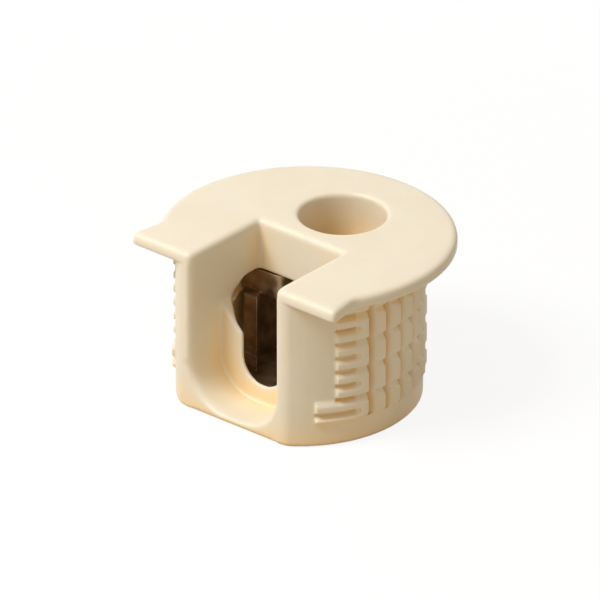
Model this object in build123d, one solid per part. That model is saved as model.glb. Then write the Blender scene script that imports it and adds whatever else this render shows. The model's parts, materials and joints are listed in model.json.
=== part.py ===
from build123d import *
import os
from math import cos, radians, sin, sqrt

# A flanged cam housing for a round board hole, with the metal cam that it holds.
# The origin is on the axis of the round body, at its bottom face.
# +Z is towards the flange, and -Y is the front, where the connecting bolt comes in.
# All sizes are in millimetres and all angles in degrees.

# Board hole and body
body_radius = 9.85
body_height = 12.7
front_cut = 1.65
front_corner_radius = 1.5
bottom_edge_chamfer = 0.3

# Flange
flange_thickness = 1.1
flange_radius = 11.9
flange_setback = 1.0
wing_inset = 1.7
wing_tip_radius = 0.6
wing_root_radius = 1.2
flange_top_radius = 0.45
flange_under_chamfer = 0.2

# Channel for the connecting bolt
channel_half_width = 4.35
channel_back = 0.2
floor_thickness = 0.72
channel_corner_radius = 3.6
mouth_depth = 0.9
mouth_side_flare = 0.45
mouth_floor_flare = 0.1
mouth_steps = 3

# Collar behind the channel, with its round-bottomed seat for the bolt's neck
channel_length = 3.6
seat_half_width = 2.05
seat_centre_height = 4.25
lead_in_start_height = 6.1
lead_in_top_drop = 0.9

# Cam chamber and the hole for the driver
chamber_setback = 1.75
chamber_wall = 3.25
chamber_front_wall = 0.4
roof_thickness = 4.45
chamber_ceiling_chamfer = 1.1
driver_hole_rear_wall = 1.05
driver_hole_radius = 3.5
driver_rim_chamfer = 0.2

# Grip ribs around the body
rib_height = 0.3
rib_bottom = 2.1
rib_bottom_taper = 0.4
ridge_pitch = 1.22
lowest_groove_height = 2.9
ridge_upper_slope = 0.45
ridge_lower_slope = 0.22
ridge_start_angle = 57.8
long_ridge_count = 2
long_ridge_start_angle = 48.1
strip_start_angle = 69.7
tooth_start_angle = 73.5
teeth_per_side = 11
tooth_drop_angle = 0.6
tooth_valley_depth = 0.08
ring_groove_depth = 0.18

# Core pockets in the two front columns
core_wall = 1.25
core_rear = 1.2
core_roof = 3.7
core_corner_radius = 0.35

# Snap lugs under the cam's top plate
lug_count = 3
lug_reach = 0.42
lug_height = 0.45
lug_arc = 24.0
lug_first_angle = -20.0
lug_last_angle = 200.0

# Cam
cam_side_clearance = 0.15
cam_top_clearance = 0.15
cam_lug_clearance = 0.1
cam_flat_clearance = 0.2
plate_thickness = 2.1
plate_flat_setback = 0.12
plate_notch_half_width = 2.0
plate_notch_depth = 1.1
plate_notch_corner_radius = 1.04
cam_wall_thickness = 1.2
cam_wall_front = -0.8
cam_lip_front = -1.6
cam_lip_height = 2.6
cam_floor_bottom = 0.7
cam_floor_thickness = 0.6
cam_floor_chamfer = 0.15
neck_slot_roof = 1.1
neck_slot_start_angle = -90.0
neck_slot_end_angle = 35.0
lead_in_relief = 0.6
pocket_count = 11
pocket_first_angle = -7.5
pocket_last_angle = 187.5
pocket_width = 1.0
pocket_inner_radius = 2.6
pocket_rim = 1.25
pocket_depth = 1.3

# Worked out from the sizes above
overall_height = body_height + flange_thickness
front_distance = body_radius - front_cut
wing_half_width = flange_radius - wing_inset
collar_distance = front_distance - channel_length
chamber_radius = body_radius - chamber_wall
chamber_ceiling = overall_height - roof_thickness
lead_in_top_height = chamber_ceiling - lead_in_top_drop
driver_hole_setback = body_radius - driver_hole_rear_wall - driver_hole_radius
rib_radius = body_radius + rib_height
ridge_count = round((body_height - lowest_groove_height) / ridge_pitch)
core_depth = body_height - core_roof
chamber_front = -collar_distance + chamber_front_wall
plate_radius = chamber_radius - cam_side_clearance
plate_top = chamber_ceiling - cam_top_clearance
plate_bottom = plate_top - plate_thickness
cam_wall_radius = chamber_setback - chamber_front - cam_flat_clearance
cam_inner_radius = cam_wall_radius - cam_wall_thickness
cam_floor_top = cam_floor_bottom + cam_floor_thickness
lug_top = plate_bottom - cam_lug_clearance
neck_slot_height = plate_bottom - cam_lip_height - neck_slot_roof
pocket_outer_radius = plate_radius - pocket_rim
far = 3 * flange_radius

# How far joined or cut shapes run into each other, and how exactly an edge is looked up
overlap = 0.2
overlap_angle = 0.5
tolerance = 0.01


def polar(radius, angle):
    """Point at a radius and an angle counted from the front towards +X."""
    return (radius * sin(radians(angle)), -radius * cos(radians(angle)))


def mirrored(points):
    """The same points on the other side of the YZ plane, in reverse order."""
    return [(-x, y) for x, y in reversed(points)]


def front_half_plane(y):
    """A large sketch that covers everything in front of y."""
    return Pos(0, y - far / 2) * Rectangle(2 * far, far)


def is_circle(edge, radius):
    """Whether an edge is a circle, or a piece of one, of this radius."""
    return edge.geom_type == GeomType.CIRCLE and abs(edge.radius - radius) < tolerance


def body_outline():
    """Plan of the round body with its flat front."""
    outline = Circle(body_radius) - front_half_plane(-front_distance)
    return fillet(outline.vertices(), front_corner_radius)


def toothed_outline():
    """Plan of the body at the height of its ribs: plain in front, ratchet teeth behind."""
    tooth_angle = (180 - tooth_start_angle) / teeth_per_side
    valley_radius = body_radius - tooth_valley_depth
    hub_radius = body_radius / 2
    side = [polar(hub_radius, strip_start_angle), polar(rib_radius, strip_start_angle)]
    for tooth in range(teeth_per_side):
        start = tooth_start_angle + tooth * tooth_angle
        side.append(polar(rib_radius, start))
        side.append(polar(valley_radius, start + tooth_drop_angle))
    side.append(polar(rib_radius, 180))
    teeth = make_face(Polyline(side + mirrored(side[:-1]), close=True))
    behind = [(0, 0), polar(far, strip_start_angle), (far, far), (-far, far), polar(far, -strip_start_angle)]
    front = body_outline() - make_face(Polyline(behind, close=True))
    hub = Circle(hub_radius + 2) - front_half_plane(0)
    return front + teeth + hub


def ring_sector(profile, start, end):
    """Turn a closed profile of radius and height points through the angles start to end."""
    face = make_face(Plane.XZ * Polyline(profile, close=True))
    return Rot(0, 0, start - 90) * revolve(face, Axis.Z, end - start)


def ridge_profile(low, high, root, is_top):
    """Section of one horizontal ridge; the top one runs into the flange at its full reach."""
    lower = [(root, low), (body_radius, low), (rib_radius, low + ridge_lower_slope)]
    if is_top:
        return lower + [(rib_radius, body_height + overlap), (root, body_height + overlap)]
    return lower + [(rib_radius, high - ridge_upper_slope), (body_radius, high), (root, high)]


def ridges_on_right():
    """Stack of short horizontal ridges on the +X side, the lowest ones longer."""
    root = body_radius - 2 * rib_height
    ridges = []
    for index in range(ridge_count + 1):
        low = lowest_groove_height + (index - 1) * ridge_pitch if index else rib_bottom
        high = lowest_groove_height + index * ridge_pitch
        start = long_ridge_start_angle if index < long_ridge_count else ridge_start_angle
        profile = ridge_profile(low, high, root, index == ridge_count)
        ridges.append(ring_sector(profile, start, strip_start_angle + overlap_angle))
    return ridges


def ring_groove(height, floor_radius):
    """Full ring with the section of one groove, to be cut out of the ribs."""
    reach = rib_radius + rib_height
    depth = reach - floor_radius
    below = depth * ridge_upper_slope / rib_height
    above = depth * ridge_lower_slope / rib_height
    profile = [(floor_radius, height), (reach, height + above), (reach, height - below)]
    return revolve(make_face(Plane.XZ * Polyline(profile, close=True)), Axis.Z)


def body_blank():
    """Round body with its ribs, before anything is cut into it."""
    foot = extrude(body_outline(), rib_bottom)
    foot = chamfer(foot.faces().sort_by(Axis.Z)[0].edges(), bottom_edge_chamfer)
    crown = Pos(0, 0, rib_bottom) * extrude(toothed_outline(), body_height + flange_thickness / 2 - rib_bottom)
    for index in range(1, ridge_count, 2):
        height = lowest_groove_height + index * ridge_pitch
        crown -= ring_groove(height, rib_radius - ring_groove_depth)
    reach = rib_radius + rib_height
    taper = [(body_radius, rib_bottom), (reach, rib_bottom), (reach, rib_bottom + 2 * rib_bottom_taper)]
    crown -= revolve(make_face(Plane.XZ * Polyline(taper, close=True)), Axis.Z)
    blank = foot + crown
    right = ridges_on_right()
    for ridge in right:
        blank += ridge
        blank += ridge.mirror(Plane.YZ)
    return blank


def flange():
    """Round flange with straight-sided wings beside the channel."""
    outline = Pos(0, flange_setback) * Circle(flange_radius)
    outline += Pos(0, -front_distance / 2) * Rectangle(2 * wing_half_width, front_distance)
    outline -= front_half_plane(-front_distance)
    tips = [v for v in outline.vertices() if v.Y < tolerance - front_distance]
    outline = fillet(tips, wing_tip_radius)
    roots = [v for v in outline.vertices() if tolerance - front_distance + wing_tip_radius < v.Y < -1]
    outline = fillet(roots, wing_root_radius)
    plate = Pos(0, 0, body_height) * extrude(outline, flange_thickness)
    return chamfer(plate.faces().sort_by(Axis.Z)[0].edges(), flange_under_chamfer)


def channel_section(y, side_growth, floor_growth):
    """Face across the bolt channel at y, open upwards past the flange."""
    half = channel_half_width + side_growth
    low = floor_thickness - floor_growth
    top = 2 * overall_height
    corner = channel_corner_radius
    arc = corner * (1 - sqrt(0.5))
    path = Polyline((-half, low + corner), (-half, top), (half, top), (half, low + corner))
    path += ThreePointArc((half, low + corner), (half - arc, low + arc), (half - corner, low))
    path += Line((half - corner, low), (corner - half, low))
    path += ThreePointArc((corner - half, low), (arc - half, low + arc), (-half, low + corner))
    return Plane.XZ.offset(-y) * make_face(path)


def channel_mouth():
    """Softly flared front end of the channel."""
    sections = []
    for step in range(mouth_steps + 1):
        share = step / mouth_steps
        grow = 1 - sqrt(1 - share * share) if share < 1 else 1.0
        y = -front_distance + mouth_depth * (1 - share)
        sections.append(channel_section(y, mouth_side_flare * grow, mouth_floor_flare * grow))
    return loft(sections)


def channel():
    """Space that the bolt's head and neck come in through."""
    length = front_distance + overlap - collar_distance
    return extrude(channel_section(-front_distance - overlap, 0, 0), -length)


def seat_section():
    """Round-bottomed seat that widens upwards into the channel's full width."""
    low = seat_centre_height - seat_half_width
    top = 2 * overall_height
    side = [(channel_half_width, top), (channel_half_width, lead_in_top_height)]
    side += [(seat_half_width, lead_in_start_height), (seat_half_width, seat_centre_height)]
    path = Polyline(side) + Polyline(mirrored(side)) + Line(side[0], mirrored(side)[-1])
    path += ThreePointArc((seat_half_width, seat_centre_height), (0, low), (-seat_half_width, seat_centre_height))
    return make_face(path)


def seat():
    """Cut through the collar, carried back to the channel's rear wall."""
    length = collar_distance + channel_back + overlap
    return extrude(Plane.XZ.offset(collar_distance + overlap) * seat_section(), -length)


def chamber():
    """Round cam chamber, open at the bottom, with a flat behind the collar."""
    drum = Pos(0, chamber_setback, -1) * extrude(Circle(chamber_radius), chamber_ceiling + 1)
    drum = chamfer(drum.faces().sort_by(Axis.Z)[-1].edges(), chamber_ceiling_chamfer)
    ahead = Pos(0, chamber_front - far / 2, 0) * Box(far, far, far)
    return drum - ahead


def core_pocket():
    """Pocket that keeps the right front column from being a thick lump."""
    region = Circle(body_radius - core_wall) - Pos(0, chamber_setback) * Circle(chamber_radius + core_wall)
    edge = channel_half_width + core_wall
    front = -front_distance + core_wall
    keep = Pos(edge + far / 2, (front - core_rear) / 2) * Rectangle(far, -core_rear - front)
    region = region & keep
    region = fillet(region.vertices(), core_corner_radius)
    return Pos(0, 0, -1) * extrude(region, core_depth + 1)


def snap_lugs():
    """Small wedges on the chamber wall that the cam's top plate snaps past."""
    root = chamber_radius + overlap
    tip = chamber_radius - lug_reach
    profile = [(tip, lug_top), (root, lug_top)]
    profile += [(root, lug_top - lug_height - overlap), (chamber_radius, lug_top - lug_height)]
    face = make_face(Plane.XZ * Polyline(profile, close=True))
    step = (lug_last_angle - lug_first_angle) / (lug_count - 1)
    lugs = []
    for index in range(lug_count):
        middle = lug_first_angle + index * step
        lugs.append(Pos(0, chamber_setback, 0) * Rot(0, 0, middle - lug_arc / 2) * revolve(face, Axis.Z, lug_arc))
    return lugs


def driver_hole():
    """Round hole for the driver, from the chamber's ceiling up through the top."""
    bore = extrude(Circle(driver_hole_radius), overall_height)
    return Pos(0, driver_hole_setback, chamber_ceiling) * bore


def housing():
    """Moulded housing: body, ribs, flange, channel, collar, chamber and driver hole."""
    solid = body_blank() + flange()
    solid -= channel()
    solid -= channel_mouth()
    solid -= seat()
    solid -= chamber()
    solid -= driver_hole()
    pocket = core_pocket()
    solid -= pocket
    solid -= pocket.mirror(Plane.YZ)
    for lug in snap_lugs():
        solid += lug
    top_edges = [e for e in solid.edges() if e.bounding_box().min.Z > overall_height - tolerance]
    rim = [e for e in top_edges if is_circle(e, driver_hole_radius)]
    solid = fillet([e for e in top_edges if e not in rim], flange_top_radius)
    rim = [e for e in solid.edges() if is_circle(e, driver_hole_radius) and e.center().Z > overall_height - tolerance]
    return chamfer(rim, driver_rim_chamfer)


def about_cam_axis(shape):
    """Move a shape drawn about the origin onto the cam's axis."""
    return Pos(0, chamber_setback, 0) * shape


def drum_wall(outer, inner, low, high, front):
    """Ring about the cam's axis, cut off in front of y = front."""
    ring = about_cam_axis(Circle(outer) - Circle(inner)) - front_half_plane(front)
    return Pos(0, 0, low) * extrude(ring, high - low)


def top_plate():
    """Thick plate with a flat and a notch in front, and pockets for the driver on top."""
    flat = channel_back + plate_flat_setback
    outline = about_cam_axis(Circle(plate_radius)) - front_half_plane(flat)
    notch = Pos(0, flat) * Rectangle(2 * plate_notch_half_width, 2 * plate_notch_depth)
    outline -= notch
    near = plate_notch_half_width + tolerance
    corners = [v for v in outline.vertices() if v.Y < flat + tolerance and abs(v.X) < near]
    outline = fillet(corners, plate_notch_corner_radius)
    plate = Pos(0, 0, plate_bottom) * extrude(outline, plate_thickness)
    round_edge = [e for e in plate.faces().sort_by(Axis.Z)[-1].edges() if is_circle(e, plate_radius)]
    plate = chamfer(round_edge, chamber_ceiling_chamfer)
    pocket_length = pocket_outer_radius - pocket_inner_radius
    slot = Pos((pocket_inner_radius + pocket_outer_radius) / 2, 0) * Rectangle(pocket_length, pocket_width)
    pitch = (pocket_last_angle - pocket_first_angle) / (pocket_count - 1)
    for index in range(pocket_count):
        turned = Rot(0, 0, pocket_first_angle + index * pitch) * slot
        plate -= about_cam_axis(Pos(0, 0, plate_top - pocket_depth) * extrude(turned, plate_thickness))
    return plate


def neck_slot():
    """Sector that frees the bolt's neck while the +X end of the wall comes round."""
    near = cam_inner_radius / 2
    profile = [(near, cam_lip_height), (far, cam_lip_height)]
    profile += [(far, cam_lip_height + neck_slot_height), (near, cam_lip_height + neck_slot_height)]
    face = make_face(Plane.XZ * Polyline(profile, close=True))
    sweep = neck_slot_end_angle - neck_slot_start_angle
    return about_cam_axis(Rot(0, 0, neck_slot_start_angle) * revolve(face, Axis.Z, sweep))


def lead_in_cut():
    """Eccentric relief inside the +X end, so the wall draws the head in as it turns."""
    shift = lead_in_relief
    circle = Pos(shift, chamber_setback - shift / 2) * Circle(cam_inner_radius)
    return Pos(0, 0, cam_floor_top) * extrude(circle, plate_bottom - cam_floor_top)


def cam():
    """Cast cam: floor disc, C-shaped wall with a neck slot, and top plate."""
    disc = about_cam_axis(Pos(0, 0, cam_floor_bottom) * extrude(Circle(cam_wall_radius), cam_floor_thickness))
    disc = chamfer(disc.edges(), cam_floor_chamfer)
    lip = drum_wall(cam_wall_radius, cam_inner_radius, cam_floor_top - overlap, cam_lip_height, cam_lip_front)
    low = cam_lip_height - overlap
    wall = drum_wall(cam_wall_radius, cam_inner_radius, low, plate_bottom + overlap, cam_wall_front)
    drum = lip + wall
    drum -= neck_slot()
    drum -= lead_in_cut()
    return top_plate() + drum + disc


def main():
    """Build both pieces and write one file for each."""
    os.makedirs("parts", exist_ok=True)
    pieces = {"housing": housing(), "cam": cam()}
    for name, solid in pieces.items():
        solid.label = name
        export_step(solid, f"parts/{name}.step")
        print(name, "volume", round(solid.volume, 2), "solids", len(solid.solids()), "valid", solid.is_valid)


main()
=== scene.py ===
"""Looks of a flanged cam housing: ivory moulded plastic around a dark bronzed cam, on a pale floor."""

import json
import logging
from dataclasses import dataclass, field
from enum import Enum
from math import cos, pi, radians, sin

import bpy
from mathutils import Matrix, Vector

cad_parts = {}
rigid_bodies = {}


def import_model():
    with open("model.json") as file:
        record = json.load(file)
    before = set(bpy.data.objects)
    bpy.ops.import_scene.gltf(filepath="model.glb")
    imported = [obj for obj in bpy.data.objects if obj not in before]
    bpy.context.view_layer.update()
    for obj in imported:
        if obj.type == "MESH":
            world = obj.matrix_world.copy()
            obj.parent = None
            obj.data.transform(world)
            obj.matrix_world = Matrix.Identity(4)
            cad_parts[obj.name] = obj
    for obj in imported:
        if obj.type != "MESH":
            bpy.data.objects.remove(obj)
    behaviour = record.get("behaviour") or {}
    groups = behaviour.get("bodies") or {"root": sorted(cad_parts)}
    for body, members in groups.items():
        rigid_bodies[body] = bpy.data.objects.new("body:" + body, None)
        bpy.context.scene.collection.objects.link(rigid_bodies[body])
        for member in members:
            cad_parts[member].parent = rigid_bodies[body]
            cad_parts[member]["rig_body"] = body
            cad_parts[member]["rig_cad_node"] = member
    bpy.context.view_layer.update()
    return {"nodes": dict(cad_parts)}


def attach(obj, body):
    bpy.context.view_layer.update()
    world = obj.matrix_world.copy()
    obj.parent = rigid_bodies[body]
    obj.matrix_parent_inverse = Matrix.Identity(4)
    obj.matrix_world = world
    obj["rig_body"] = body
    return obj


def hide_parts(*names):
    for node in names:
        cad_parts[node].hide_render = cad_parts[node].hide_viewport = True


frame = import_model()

log = logging.getLogger("cam_housing")

MM = 0.001
PHOTO_PIXELS = 600
SENSOR_WIDTH = 36.0
WELD = 0.001 * MM
Colour = tuple[float, float, float]
Place = tuple[float, float, float]
Profile = tuple[tuple[float, float], ...]
WHITE: Colour = (1.0, 1.0, 1.0)

# Numbers of the sockets that a colour Mix node uses
MIX_SHARE, MIX_UNDER, MIX_OVER, MIX_RESULT = 0, 6, 7, 2


class Node(Enum):
    """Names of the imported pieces."""

    HOUSING = "housing"
    CAM = "cam"


class Socket(Enum):
    """Kinds of socket on the shared shader groups."""

    NUMBER = "NodeSocketFloat"
    VECTOR = "NodeSocketVector"


def metres(place: Place) -> Place:
    """Turn a place in millimetres into metres."""
    return tuple(MM * part for part in place)


def opaque(colour: Colour) -> tuple[float, float, float, float]:
    """Give a colour full opacity."""
    return (*colour, 1.0)


class Tree:
    """A small bench for wiring shader nodes.

    Args:
        tree: The node tree that is worked on.
    """

    def __init__(self, tree: bpy.types.NodeTree) -> None:
        self.tree = tree

    def add(self, kind: str, settings: dict[str, object] | None = None, **inputs: object) -> bpy.types.Node:
        """Add a node, set its properties and fill or wire its inputs.

        Args:
            kind: Type name of the node.
            settings: Properties of the node itself.
            inputs: A value or an output socket for each input, with underscores for spaces.

        Returns:
            The new node.
        """
        node = self.tree.nodes.new(kind)
        for name, value in (settings or {}).items():
            setattr(node, name, value)
        for name, value in inputs.items():
            self.feed(node, name.replace("_", " "), value)
        return node

    def feed(self, node: bpy.types.Node, name: str | int, value: object) -> None:
        """Wire an output socket into an input, or set the input's value.

        Args:
            node: The node that takes the value.
            name: Name or number of its input.
            value: An output socket, or a plain value.
        """
        if isinstance(value, bpy.types.NodeSocket):
            self.tree.links.new(value, node.inputs[name])
        else:
            node.inputs[name].default_value = value

    def maths(self, operation: str, first: object, second: object = 0.0) -> bpy.types.NodeSocket:
        """Add a Math node.

        Args:
            operation: What the node does with its two values.
            first: The first value or socket.
            second: The second value or socket.

        Returns:
            The node's output.
        """
        node = self.add("ShaderNodeMath", {"operation": operation})
        self.feed(node, 0, first)
        self.feed(node, 1, second)
        return node.outputs[0]

    def remap(
        self, value: object, low: float, high: float, to_low: float = 0.0, to_high: float = 1.0
    ) -> bpy.types.NodeSocket:
        """Add a clamped, smooth Map Range node.

        Args:
            value: The socket to map.
            low: Value that becomes to_low.
            high: Value that becomes to_high.
            to_low: Result at the low end.
            to_high: Result at the high end.

        Returns:
            The node's output.
        """
        node = self.add(
            "ShaderNodeMapRange",
            {"interpolation_type": "SMOOTHSTEP"},
            Value=value,
            From_Min=low,
            From_Max=high,
            To_Min=to_low,
            To_Max=to_high,
        )
        return node.outputs["Result"]

    def blend(self, share: object, under: object, over: object, mode: str = "MIX") -> bpy.types.NodeSocket:
        """Add a colour Mix node.

        Args:
            share: How much of the second colour shows.
            under: The first colour or socket.
            over: The second colour or socket.
            mode: How the two colours are mixed.

        Returns:
            The mixed colour's socket.
        """
        node = self.add("ShaderNodeMix", {"data_type": "RGBA", "blend_type": mode})
        self.feed(node, MIX_SHARE, share)
        self.feed(node, MIX_UNDER, under)
        self.feed(node, MIX_OVER, over)
        return node.outputs[MIX_RESULT]


class SharedGroup:
    """A node group built once and placed in several materials.

    Args:
        name: The group's name.
        inputs: Name, kind and starting value of each input.
        outputs: Name and kind of each output.
    """

    def __init__(
        self,
        name: str,
        inputs: list[tuple[str, Socket, float | None]],
        outputs: list[tuple[str, Socket]],
    ) -> None:
        self.group = bpy.data.node_groups.new(name, "ShaderNodeTree")
        for label, kind, start in inputs:
            socket = self.group.interface.new_socket(name=label, in_out="INPUT", socket_type=kind.value)
            if start is not None:
                socket.default_value = start
        for label, kind in outputs:
            self.group.interface.new_socket(name=label, in_out="OUTPUT", socket_type=kind.value)
        self.bench = Tree(self.group)
        self.source = self.bench.add("NodeGroupInput").outputs
        self.sink = self.bench.add("NodeGroupOutput")

    def place(self, bench: Tree, **inputs: object) -> bpy.types.Node:
        """Put the group into a material.

        Args:
            bench: The material's wiring bench.
            inputs: A value or socket for each of the group's inputs.

        Returns:
            The placed group node.
        """
        return bench.add("ShaderNodeGroup", {"node_tree": self.group}, **inputs)


def grain_group() -> SharedGroup:
    """Build the grain that both the plastic and the casting carry.

    Returns:
        A group with a broad mottle from 0 to 1 and a fine surface height.
    """
    made = SharedGroup(
        "surface_grain",
        [
            ("Place", Socket.VECTOR, None),
            ("Mottle Scale", Socket.NUMBER, 250.0),
            ("Grain Scale", Socket.NUMBER, 5000.0),
        ],
        [("Mottle", Socket.NUMBER), ("Height", Socket.NUMBER)],
    )
    bench, source = made.bench, made.source
    noise, where = "ShaderNodeTexNoise", source["Place"]
    broad = bench.add(noise, Vector=where, Scale=source["Mottle Scale"], Detail=3.0)
    fine = bench.add(noise, Vector=where, Scale=source["Grain Scale"], Detail=4.0, Roughness=0.6)
    bench.feed(made.sink, "Mottle", bench.remap(broad.outputs["Fac"], low=0.3, high=0.7))
    bench.feed(made.sink, "Height", fine.outputs["Fac"])
    return made


def edge_group() -> SharedGroup:
    """Build the rounded-edge normal and the mask of the edges it rounds.

    Returns:
        A group with a softened normal and an edge mask from 0 to 1.
    """
    made = SharedGroup(
        "soft_edges",
        [("Radius", Socket.NUMBER, 0.1 * MM)],
        [("Normal", Socket.VECTOR), ("Edge", Socket.NUMBER)],
    )
    bench = made.bench
    rounded = bench.add("ShaderNodeBevel", {"samples": 6}, Radius=made.source["Radius"])
    plain = bench.add("ShaderNodeNewGeometry")
    both = bench.add("ShaderNodeVectorMath", {"operation": "DOT_PRODUCT"})
    bench.feed(both, 0, rounded.outputs["Normal"])
    bench.feed(both, 1, plain.outputs["Normal"])
    bench.feed(made.sink, "Normal", rounded.outputs["Normal"])
    bench.feed(made.sink, "Edge", bench.remap(both.outputs["Value"], low=1.0, high=0.8))
    return made


def recess_shade_group() -> SharedGroup:
    """Build the mask of recesses, where warm shade is painted into the plastic's colour.

    Returns:
        A group whose mask is 0 in the open and 1 deep in a recess.
    """
    made = SharedGroup("recess", [("Reach", Socket.NUMBER, 5.0 * MM)], [("Painted Shade", Socket.NUMBER)])
    bench = made.bench
    # Painted shade: the less open sky a point sees, the more shade is painted into its colour.
    open_sky = bench.add("ShaderNodeAmbientOcclusion", {"samples": 8}, Distance=made.source["Reach"])
    bench.feed(made.sink, "Painted Shade", bench.remap(open_sky.outputs["AO"], low=0.9, high=0.25))
    return made


@dataclass(frozen=True)
class Mark:
    """A small round mark left by moulding or handling.

    Args:
        place: Its middle, in millimetres.
        radius: Its reach, in millimetres.
    """

    place: Place
    radius: float

    def mask(self, bench: Tree, where: bpy.types.NodeSocket) -> bpy.types.NodeSocket:
        """Wire a mask that is 1 in the mark's middle.

        Args:
            bench: The material's wiring bench.
            where: The surface place, in metres.

        Returns:
            The mask's socket.
        """
        away = bench.add("ShaderNodeVectorMath", {"operation": "DISTANCE"})
        bench.feed(away, 0, where)
        bench.feed(away, 1, metres(self.place))
        return bench.remap(away.outputs["Value"], low=MM * self.radius, high=0.0)


@dataclass(frozen=True)
class IvoryPlastic:
    """Satin ivory plastic that lets a little light in and has soft moulded edges, with a painted highlight
    along its edges and painted warm shade in its recesses and grooves.

    Lengths are in metres, the marks' in millimetres, and sink_depth counts grain depths.
    """

    colour: Colour = (0.82, 0.745, 0.605)
    mottle_colour: Colour = (0.80, 0.72, 0.575)
    mottle_scale: float = 220.0
    # Painted highlight: the edges get a lighter colour that stands in for light caught by the rounded
    # edges.
    edge_highlight_colour: Colour = (0.86, 0.79, 0.67)
    edge_radius: float = 0.08 * MM
    edge_highlight_share: float = 0.5
    # Painted shade: recesses get a deeper, warmer colour that stands in for shade and the light bounced in
    # them.
    recess_shade_colour: Colour = (0.92, 0.66, 0.31)
    recess_shade_reach: float = 5.0 * MM
    # Painted shade: small grooves get a darker ochre colour that stands in for the shade inside them.
    groove_shade_colour: Colour = (0.72, 0.50, 0.24)
    groove_shade_reach: float = 1.0 * MM
    groove_shade_share: float = 0.7
    roughness: float = 0.42
    roughness_spread: float = 0.05
    grain_scale: float = 4200.0
    grain_depth: float = 0.004 * MM
    sink_mark: Mark = Mark((-8.4, -0.5, 13.8), 1.6)
    sink_depth: float = 6.0
    scuff: Mark = Mark((-4.9, -8.2, 4.2), 0.5)
    scuff_share: float = 0.35
    scuff_dullness: float = 0.15
    subsurface: float = 0.28
    scatter_reach: float = 0.3 * MM
    scatter_by_colour: Colour = (1.0, 0.5, 0.2)
    refraction: float = 1.49

    def build(self, grain: SharedGroup, edges: SharedGroup, recess: SharedGroup) -> bpy.types.Material:
        """Make the material.

        Args:
            grain: The shared surface grain.
            edges: The shared soft edges.
            recess: The shared recess mask, which paints warm shade into recesses and grooves.

        Returns:
            The finished material.
        """
        material = bpy.data.materials.new("ivory_plastic")
        material.use_nodes = True
        bench = Tree(material.node_tree)
        shader = material.node_tree.nodes["Principled BSDF"]
        where = bench.add("ShaderNodeTexCoord").outputs["Object"]
        skin = grain.place(
            bench, Place=where, Mottle_Scale=self.mottle_scale, Grain_Scale=self.grain_scale
        )
        mottle = skin.outputs["Mottle"]
        soft = edges.place(bench, Radius=self.edge_radius)
        scuffed = self.scuff.mask(bench, where)
        # Painted shade: these two masks deepen and warm the colour in recesses and in the grip's grooves.
        recess_shade_mask = recess.place(bench, Reach=self.recess_shade_reach).outputs["Painted Shade"]
        groove_shade_mask = recess.place(bench, Reach=self.groove_shade_reach).outputs["Painted Shade"]

        # Painted highlight: the edge mask lightens the colour along every edge.
        edge = bench.maths("MULTIPLY", soft.outputs["Edge"], self.edge_highlight_share)
        # Painted shade: the groove mask darkens and warms the colour inside small grooves.
        groove = bench.maths("MULTIPLY", groove_shade_mask, self.groove_shade_share)
        worn = bench.maths("MULTIPLY", scuffed, self.scuff_share)
        paint = bench.blend(mottle, opaque(self.colour), opaque(self.mottle_colour))
        paint = bench.blend(edge, paint, opaque(self.edge_highlight_colour))
        paint = bench.blend(recess_shade_mask, paint, opaque(self.recess_shade_colour))
        paint = bench.blend(groove, paint, opaque(self.groove_shade_colour))
        paint = bench.blend(worn, paint, opaque(self.mottle_colour), "MULTIPLY")
        bench.feed(shader, "Base Color", paint)

        half = self.roughness_spread / 2
        even = bench.remap(mottle, 0.0, 1.0, self.roughness - half, self.roughness + half)
        dull = bench.maths("MULTIPLY", scuffed, self.scuff_dullness)
        bench.feed(shader, "Roughness", bench.maths("ADD", even, dull))

        dip = bench.maths("MULTIPLY", self.sink_mark.mask(bench, where), self.sink_depth)
        height = bench.maths("SUBTRACT", skin.outputs["Height"], dip)
        bump = bench.add(
            "ShaderNodeBump", Distance=self.grain_depth, Height=height, Normal=soft.outputs["Normal"]
        )
        bench.feed(shader, "Normal", bump.outputs["Normal"])

        shader.inputs["Subsurface Weight"].default_value = self.subsurface
        shader.inputs["Subsurface Radius"].default_value = self.scatter_by_colour
        shader.inputs["Subsurface Scale"].default_value = self.scatter_reach
        shader.inputs["IOR"].default_value = self.refraction
        return material


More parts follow.
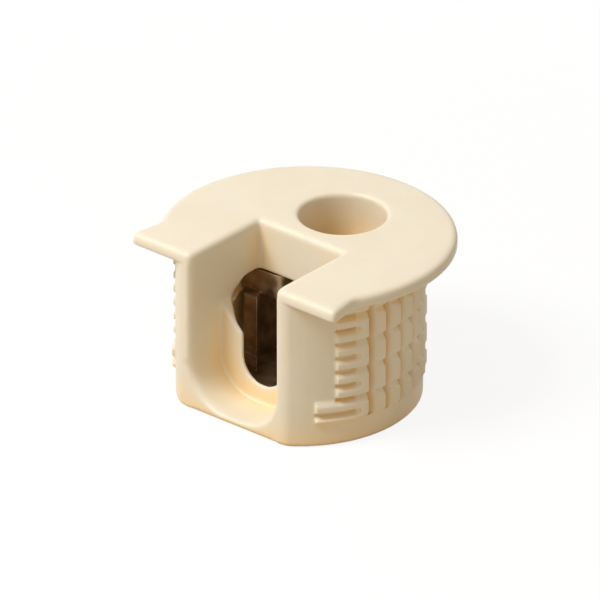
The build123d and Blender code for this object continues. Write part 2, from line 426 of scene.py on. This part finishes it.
@dataclass(frozen=True)
class BronzedCasting:
    """Dark bronzed metal with a cast skin, and edges painted brighter, partly as rub wear and partly as a
    painted highlight.

    Lengths are in metres.
    """

    colour: Colour = (0.46, 0.33, 0.20)
    dark_colour: Colour = (0.30, 0.20, 0.12)
    mottle_scale: float = 900.0
    # Edges painted brighter: partly rub wear, partly a painted highlight.
    rub_and_highlight_colour: Colour = (0.75, 0.64, 0.48)
    rub_and_highlight_share: float = 0.4
    edge_radius: float = 0.12 * MM
    roughness: float = 0.30
    rough_patch: float = 0.48
    metallic: float = 0.85
    cast_scale: float = 2600.0
    cast_depth: float = 0.012 * MM

    def build(self, grain: SharedGroup, edges: SharedGroup) -> bpy.types.Material:
        """Make the material.

        Args:
            grain: The shared surface grain.
            edges: The shared soft edges.

        Returns:
            The finished material.
        """
        material = bpy.data.materials.new("bronzed_casting")
        material.use_nodes = True
        bench = Tree(material.node_tree)
        shader = material.node_tree.nodes["Principled BSDF"]
        where = bench.add("ShaderNodeTexCoord").outputs["Object"]
        skin = grain.place(
            bench, Place=where, Mottle_Scale=self.mottle_scale, Grain_Scale=self.cast_scale
        )
        mottle = skin.outputs["Mottle"]
        soft = edges.place(bench, Radius=self.edge_radius)
        body = bench.blend(mottle, opaque(self.dark_colour), opaque(self.colour))
        # The edge mask paints the edges brighter: partly rub wear, partly a painted highlight.
        rub_and_highlight = bench.maths("MULTIPLY", soft.outputs["Edge"], self.rub_and_highlight_share)
        bench.feed(shader, "Base Color", bench.blend(rub_and_highlight, body, opaque(self.rub_and_highlight_colour)))
        bench.feed(shader, "Roughness", bench.remap(mottle, 0.0, 1.0, self.roughness, self.rough_patch))
        bump = bench.add(
            "ShaderNodeBump",
            Distance=self.cast_depth,
            Height=skin.outputs["Height"],
            Normal=soft.outputs["Normal"],
        )
        bench.feed(shader, "Normal", bump.outputs["Normal"])
        shader.inputs["Metallic"].default_value = self.metallic
        return material


@dataclass(frozen=True)
class PaleFloor:
    """Floor that the camera sees as white with a faint shadow, and whose bounced light is warm.

    The distances from the object at which the shadow fades out are in metres.
    """

    colour: Colour = (0.60, 0.53, 0.42)
    white_share: float = 0.88
    fade_from: float = 25 * MM
    fade_to: float = 90 * MM

    def build(self) -> bpy.types.Material:
        """Make the material.

        Returns:
            The finished material.
        """
        material = bpy.data.materials.new("pale_floor")
        material.use_nodes = True
        bench = Tree(material.node_tree)
        nodes = material.node_tree.nodes
        nodes.remove(nodes["Principled BSDF"])
        card = bench.add("ShaderNodeBsdfDiffuse", Color=opaque(self.colour))
        seen_card = bench.add("ShaderNodeBsdfDiffuse", Color=opaque(WHITE))
        glow = bench.add("ShaderNodeEmission", Color=opaque(WHITE), Strength=1.0)
        away = bench.add("ShaderNodeVectorMath", {"operation": "LENGTH"})
        bench.feed(away, 0, bench.add("ShaderNodeTexCoord").outputs["Object"])
        far = away.outputs["Value"]
        share = bench.remap(far, self.fade_from, self.fade_to, self.white_share, 1.0)
        seen = bench.add("ShaderNodeMixShader", Fac=share)
        bench.feed(seen, 1, seen_card.outputs[0])
        bench.feed(seen, 2, glow.outputs[0])
        choice = bench.add("ShaderNodeMixShader", Fac=seen_rays(bench))
        bench.feed(choice, 1, card.outputs[0])
        bench.feed(choice, 2, seen.outputs[0])
        bench.feed(nodes["Material Output"], "Surface", choice.outputs[0])
        return material


def seen_rays(bench: Tree) -> bpy.types.NodeSocket:
    """Wire a switch that is on for camera, glossy and transmission rays.

    Args:
        bench: The wiring bench of the floor or the world.

    Returns:
        The switch's socket.
    """
    path = bench.add("ShaderNodeLightPath").outputs
    mirrored = bench.maths("MAXIMUM", path["Is Glossy Ray"], path["Is Transmission Ray"])
    return bench.maths("MAXIMUM", path["Is Camera Ray"], mirrored)


def select_only(piece: bpy.types.Object) -> None:
    """Make a piece the only selected and the active one."""
    bpy.ops.object.select_all(action="DESELECT")
    piece.select_set(True)
    bpy.context.view_layer.objects.active = piece


def apply_modifier(piece: bpy.types.Object, kind: str, settings: dict[str, object]) -> None:
    """Add a modifier to a piece and apply it.

    Args:
        piece: The piece that is changed.
        kind: Type of the modifier.
        settings: Properties of the modifier.
    """
    select_only(piece)
    modifier = piece.modifiers.new(kind.lower(), kind)
    for name, value in settings.items():
        setattr(modifier, name, value)
    bpy.ops.object.modifier_apply(modifier=modifier.name)


def polygon(name: str, points: list[Place]) -> bpy.types.Object:
    """Add a filled outline.

    Args:
        name: Name of the new piece.
        points: Its corners, in millimetres.

    Returns:
        The flat piece.
    """
    bpy.ops.object.select_all(action="DESELECT")
    bpy.ops.mesh.primitive_circle_add(vertices=len(points), radius=MM, fill_type="NGON")
    piece = bpy.context.object
    piece.name = name
    for vertex, point in zip(piece.data.vertices, points):
        vertex.co = metres(point)
    return piece


def polar(radius: float, angle: float, height: float) -> Place:
    """Place at a radius, an angle from the front towards +X, and a height."""
    return (radius * sin(radians(angle)), -radius * cos(radians(angle)), height)


def lift(piece: bpy.types.Object, height: float) -> bpy.types.Object:
    """Extrude a flat piece straight up.

    Args:
        piece: The flat piece.
        height: How far up, in millimetres.

    Returns:
        The same piece, now a closed block.
    """
    select_only(piece)
    bpy.ops.object.mode_set(mode="EDIT")
    bpy.ops.mesh.select_all(action="SELECT")
    bpy.ops.mesh.extrude_region_move(TRANSFORM_OT_translate={"value": (0, 0, MM * height)})
    close_up()
    return piece


def sweep(piece: bpy.types.Object, angle: float, steps: int) -> bpy.types.Object:
    """Spin a flat piece about the body's axis.

    Args:
        piece: The flat piece, already at its start angle.
        angle: How far it goes round, in degrees.
        steps: Number of short runs.

    Returns:
        The same piece, now a closed ring sector.
    """
    select_only(piece)
    bpy.ops.object.mode_set(mode="EDIT")
    bpy.ops.mesh.select_all(action="SELECT")
    bpy.ops.mesh.spin(steps=steps, angle=radians(angle), center=(0, 0, 0), axis=(0, 0, -1))
    close_up()
    return piece


def close_up() -> None:
    """Merge the doubles of the piece in edit mode, point its faces outwards and leave edit mode."""
    bpy.ops.mesh.select_all(action="SELECT")
    bpy.ops.mesh.remove_doubles(threshold=WELD)
    bpy.ops.mesh.normals_make_consistent(inside=False)
    bpy.ops.object.mode_set(mode="OBJECT")


def join(pieces: list[bpy.types.Object]) -> bpy.types.Object:
    """Join pieces into the first of them.

    Args:
        pieces: What is joined.

    Returns:
        The joined piece.
    """
    select_only(pieces[0])
    for piece in pieces[1:]:
        piece.select_set(True)
    bpy.ops.object.join()
    return pieces[0]


class Side(Enum):
    """Which side of the housing, as the sign of its X."""

    RIGHT = 1
    LEFT = -1


@dataclass
class GripRelief:
    """Grooves that bring out the moulded grip: tooth valleys, ridge grooves and crest notches.

    All sizes are in millimetres and degrees, with angles counted from the front.
    """

    first_tooth: float = 73.5
    last_tooth: float = 180.0
    teeth: int = 11
    valley: Profile = (
        (10.5, 0.0), (9.34, 0.35), (9.36, 1.5), (9.58, 2.9),
        (9.84, 4.4), (10.0, 6.2), (10.08, 8.2), (10.5, 8.2),
    )
    foot: float = 2.1
    crown: float = 12.6
    groove_heights: tuple[float, ...] = (2.9, 4.12, 5.34, 6.56, 7.78, 9.0, 10.22, 11.44)
    groove: Profile = ((9.52, 0.0), (9.86, 0.12), (10.5, 0.44), (10.5, -0.76), (9.86, -0.22))
    short_start: float = 57.3
    long_start: float = 47.7
    groove_end: float = 67.6
    notch: Profile = ((9.72, 0.0), (10.5, 0.5), (10.5, -0.98))
    notch_gap: float = 0.4
    step_angle: float = 3.0
    fewest_steps: int = 3

    def tooth_valley(self, side: Side, start: float) -> bpy.types.Object:
        """Shape the space in front of one tooth.

        Args:
            side: Which side of the housing.
            start: Angle at which the tooth before it drops.

        Returns:
            The cutting piece.
        """
        outline = [
            polar(radius, side.value * (start + turn), self.foot) for radius, turn in self.valley
        ]
        return lift(polygon("tooth_valley", outline), self.crown - self.foot)

    def round_groove(
        self, profile: Profile, side: Side, height: float, start: float, end: float
    ) -> bpy.types.Object:
        """Shape a groove that runs round the body.

        Args:
            profile: Radius and height of each corner of its section.
            side: Which side of the housing.
            height: Height of its floor.
            start: Angle at which it starts.
            end: Angle at which it ends.

        Returns:
            The cutting piece.
        """
        section = [
            polar(radius, side.value * start, height + rise) for radius, rise in profile
        ]
        steps = max(self.fewest_steps, round((end - start) / self.step_angle))
        return sweep(polygon("round_groove", section), side.value * (end - start), steps)

    def hollows(self) -> bpy.types.Object:
        """Join the tooth valleys and ridge grooves of both sides.

        Returns:
            One piece that takes the valleys and grooves out of the body.
        """
        pitch = (self.last_tooth - self.first_tooth) / self.teeth
        pieces = []
        for side in Side:
            for index in range(self.teeth):
                pieces.append(self.tooth_valley(side, self.first_tooth + index * pitch))
            for index, height in enumerate(self.groove_heights):
                start = self.long_start if index == 0 else self.short_start
                pieces.append(self.round_groove(self.groove, side, height, start, self.groove_end))
        return join(pieces)

    def notches(self) -> bpy.types.Object:
        """Join the notches that cross the crests of the teeth.

        Returns:
            One piece that takes the notches out of the body.
        """
        end = self.last_tooth - self.notch_gap
        rings = [
            self.round_groove(self.notch, side, height, self.groove_end, end)
            for side in Side
            for height in self.groove_heights[1::2]
        ]
        return join(rings)


@dataclass
class CamHousing:
    """The moulded housing, with the soft edges and the deep grip that moulding gives it.

    Lengths are in millimetres.
    """

    finish: IvoryPlastic = field(default_factory=IvoryPlastic)
    grip: GripRelief = field(default_factory=GripRelief)
    voxel: float = 0.1
    smooth_share: float = 0.5
    crisp_rounds: int = 3
    broad_rounds: int = 40
    body_radius: float = 9.2
    flange_underside: float = 12.9
    most_faces: int = 170000
    wing_flare: float = 0.55
    wing_margin: float = 0.3
    wing_side: float = 9.0
    wing_root: float = -4.5
    wing_front: float = -8.2

    def copy_packed(self) -> bpy.types.Object:
        """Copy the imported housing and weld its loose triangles.

        Returns:
            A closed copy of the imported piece.
        """
        packed = frame["nodes"][Node.HOUSING.value]
        piece = packed.copy()
        piece.data = packed.data.copy()
        piece.name = "housing_moulding"
        piece.parent = None
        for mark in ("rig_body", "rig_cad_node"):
            del piece[mark]
        bpy.context.scene.collection.objects.link(piece)
        piece.matrix_world = Matrix.Identity(4)
        select_only(piece)
        bpy.ops.mesh.customdata_custom_splitnormals_clear()
        bpy.ops.object.mode_set(mode="EDIT")
        bpy.ops.mesh.select_all(action="SELECT")
        bpy.ops.mesh.remove_doubles(threshold=WELD)
        bpy.ops.object.mode_set(mode="OBJECT")
        return piece

    def flare_wings(self, piece: bpy.types.Object) -> None:
        """Move the wings' side edges outwards towards their front tips."""
        lowest = self.flange_underside - self.wing_margin
        for vertex in piece.data.vertices:
            place = vertex.co / MM
            if place.z > lowest and abs(place.x) > self.wing_side and place.y < self.wing_root:
                share = (self.wing_root - place.y) / (self.wing_root - self.wing_front)
                vertex.co.x += MM * self.wing_flare * share * share * (1 if place.x > 0 else -1)

    def take_out(self, piece: bpy.types.Object, tool: bpy.types.Object) -> None:
        """Cut a tool's shape out of the piece and remove the tool."""
        settings = {"operation": "DIFFERENCE", "object": tool, "solver": "EXACT"}
        apply_modifier(piece, "BOOLEAN", settings)
        bpy.data.objects.remove(tool)

    def soften(self, piece: bpy.types.Object) -> None:
        """Round every edge a little, and all but the grip's more.

        Args:
            piece: The housing, already cut.
        """
        apply_modifier(piece, "REMESH", {"mode": "VOXEL", "voxel_size": MM * self.voxel})
        gentle = {"factor": self.smooth_share}
        apply_modifier(piece, "SMOOTH", gentle | {"iterations": self.crisp_rounds})
        broad = piece.vertex_groups.new(name="broad_edges")
        reach = MM * self.body_radius
        inner = [
            vertex.index
            for vertex in piece.data.vertices
            if vertex.co.z > MM * self.flange_underside or vertex.co.xy.length < reach
        ]
        broad.add(inner, 1.0, "REPLACE")
        rounds = {"iterations": self.broad_rounds, "vertex_group": broad.name}
        apply_modifier(piece, "SMOOTH", gentle | rounds)
        piece.vertex_groups.clear()
        share = min(1.0, self.most_faces / (2 * len(piece.data.polygons)))
        apply_modifier(piece, "DECIMATE", {"ratio": share})
        select_only(piece)
        bpy.ops.object.shade_smooth()

    def build(self, grain: SharedGroup, edges: SharedGroup, recess: SharedGroup) -> bpy.types.Object:
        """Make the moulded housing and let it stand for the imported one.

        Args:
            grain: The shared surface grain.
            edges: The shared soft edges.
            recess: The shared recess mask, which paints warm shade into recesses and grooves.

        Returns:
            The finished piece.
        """
        piece = self.copy_packed()
        self.flare_wings(piece)
        self.take_out(piece, self.grip.hollows())
        self.take_out(piece, self.grip.notches())
        self.soften(piece)
        piece.data.materials.clear()
        piece.data.materials.append(self.finish.build(grain, edges, recess))
        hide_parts(Node.HOUSING.value)
        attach(piece, Node.HOUSING.value)
        return piece


@dataclass
class LockingCam:
    """The cast cam: top plate, C-shaped wall and floor disc."""

    finish: BronzedCasting = field(default_factory=BronzedCasting)

    def dress(self, grain: SharedGroup, edges: SharedGroup) -> bpy.types.Object:
        """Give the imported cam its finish.

        Args:
            grain: The shared surface grain.
            edges: The shared soft edges.

        Returns:
            The dressed piece.
        """
        piece = frame["nodes"][Node.CAM.value]
        piece.data.materials.clear()
        piece.data.materials.append(self.finish.build(grain, edges))
        return piece


@dataclass
class PhotoCamera:
    """The photograph's viewpoint, as found from the object's own edges.

    Angles are in degrees and lengths in millimetres, and across and upward shift the aim.
    """

    azimuth: float = 40.66
    elevation: float = 27.524
    distance: float = 1100.0
    focal_pixels: float = 13811.0
    across: float = -0.045
    upward: float = -7.179
    clip_start: float = 10.0
    clip_end: float = 10000.0

    def build(self) -> None:
        """Place the camera and make it the scene's own."""
        turn, rise = radians(self.azimuth), radians(self.elevation)
        right = Vector((cos(turn), sin(turn), 0.0))
        back = Vector((sin(turn) * cos(rise), -cos(turn) * cos(rise), sin(rise)))
        up = back.cross(right)
        data = bpy.data.cameras.new("photo_camera")
        data.sensor_width = SENSOR_WIDTH
        data.lens = self.focal_pixels * SENSOR_WIDTH / PHOTO_PIXELS
        data.clip_start = MM * self.clip_start
        data.clip_end = MM * self.clip_end
        camera = bpy.data.objects.new("photo_camera", data)
        bpy.context.scene.collection.objects.link(camera)
        place = MM * (self.distance * back - self.across * right - self.upward * up)
        turned = Matrix((right, up, back)).transposed().to_4x4()
        camera.matrix_world = Matrix.Translation(place) @ turned
        bpy.context.scene.camera = camera
        log.info("camera at %s", tuple(round(part, 4) for part in place))


@dataclass(frozen=True)
class Softbox:
    """A square soft lamp that faces the object.

    Args:
        name: The lamp's name.
        place: Where it hangs, in millimetres.
        size: Length of its side, in millimetres.
        level: Light it throws on a surface that faces it, where 1 shows a colour as it is written.
        colour: Colour of its light.
    """

    name: str
    place: Place
    size: float
    level: float
    colour: Colour

    def build(self, aim: Vector) -> None:
        """Hang the lamp.

        Args:
            aim: The point it faces, in metres.
        """
        place = Vector(metres(self.place))
        data = bpy.data.lights.new(self.name, "AREA")
        data.size = MM * self.size
        data.color = self.colour
        # A flat lamp of this power gives the level above at the point it faces
        data.energy = self.level * pi * pi * (place - aim).length_squared
        lamp = bpy.data.objects.new(self.name, data)
        bpy.context.scene.collection.objects.link(lamp)
        lamp.location = place
        lamp.rotation_euler = (aim - place).to_track_quat("-Z", "Y").to_euler()


@dataclass
class Studio:
    """Floor, one softbox and even, slightly warm surroundings.

    The floor's side is in metres and the point the lamp faces in millimetres.
    """

    floor_size: float = 3.0
    world_level: float = 0.48
    world_tint: Colour = (1.0, 0.89, 0.71)
    key: Softbox = Softbox(
        "key_softbox", place=(-90.0, -165.0, 255.0), size=130.0, level=0.85, colour=(0.97, 0.99, 1.02)
    )
    aim: Place = (0.0, 0.0, 7.0)

    def lay_floor(self) -> None:
        """Lay the pale floor under the object."""
        bpy.ops.object.select_all(action="DESELECT")
        bpy.ops.mesh.primitive_plane_add(size=self.floor_size, location=(0, 0, 0))
        floor = bpy.context.object
        floor.name = "floor"
        floor.data.materials.append(PaleFloor().build())

    def fill_world(self) -> None:
        """Light the object evenly from all round, in front of a plain white background."""
        world = bpy.data.worlds.new("even_surroundings")
        world.use_nodes = True
        bench = Tree(world.node_tree)
        seen = seen_rays(bench)
        background = world.node_tree.nodes["Background"]
        bench.feed(background, "Color", bench.blend(seen, opaque(self.world_tint), opaque(WHITE)))
        bench.feed(background, "Strength", bench.remap(seen, 0.0, 1.0, self.world_level, 1.0))
        bpy.context.scene.world = world

    def build(self) -> None:
        """Set up the whole studio."""
        self.lay_floor()
        self.key.build(Vector(metres(self.aim)))
        self.fill_world()
        log.info("studio ready")


def clear_start_objects() -> None:
    """Remove the cube, lamp and camera that an empty Blender file starts with."""
    for name in ("Cube", "Light", "Camera"):
        if name in bpy.data.objects:
            bpy.data.objects.remove(bpy.data.objects[name])


def main() -> None:
    """Dress the pieces, then set up the studio and the camera."""
    logging.basicConfig(level=logging.INFO, format="%(name)s: %(message)s")
    clear_start_objects()
    bpy.context.scene.view_settings.view_transform = "Standard"
    grain, edges = grain_group(), edge_group()
    pieces = [CamHousing().build(grain, edges, recess_shade_group()), LockingCam().dress(grain, edges)]
    for piece in pieces:
        log.info("%s has %d faces", piece.name, len(piece.data.polygons))
    Studio().build()
    PhotoCamera().build()


if __name__ == "__main__":
    main()
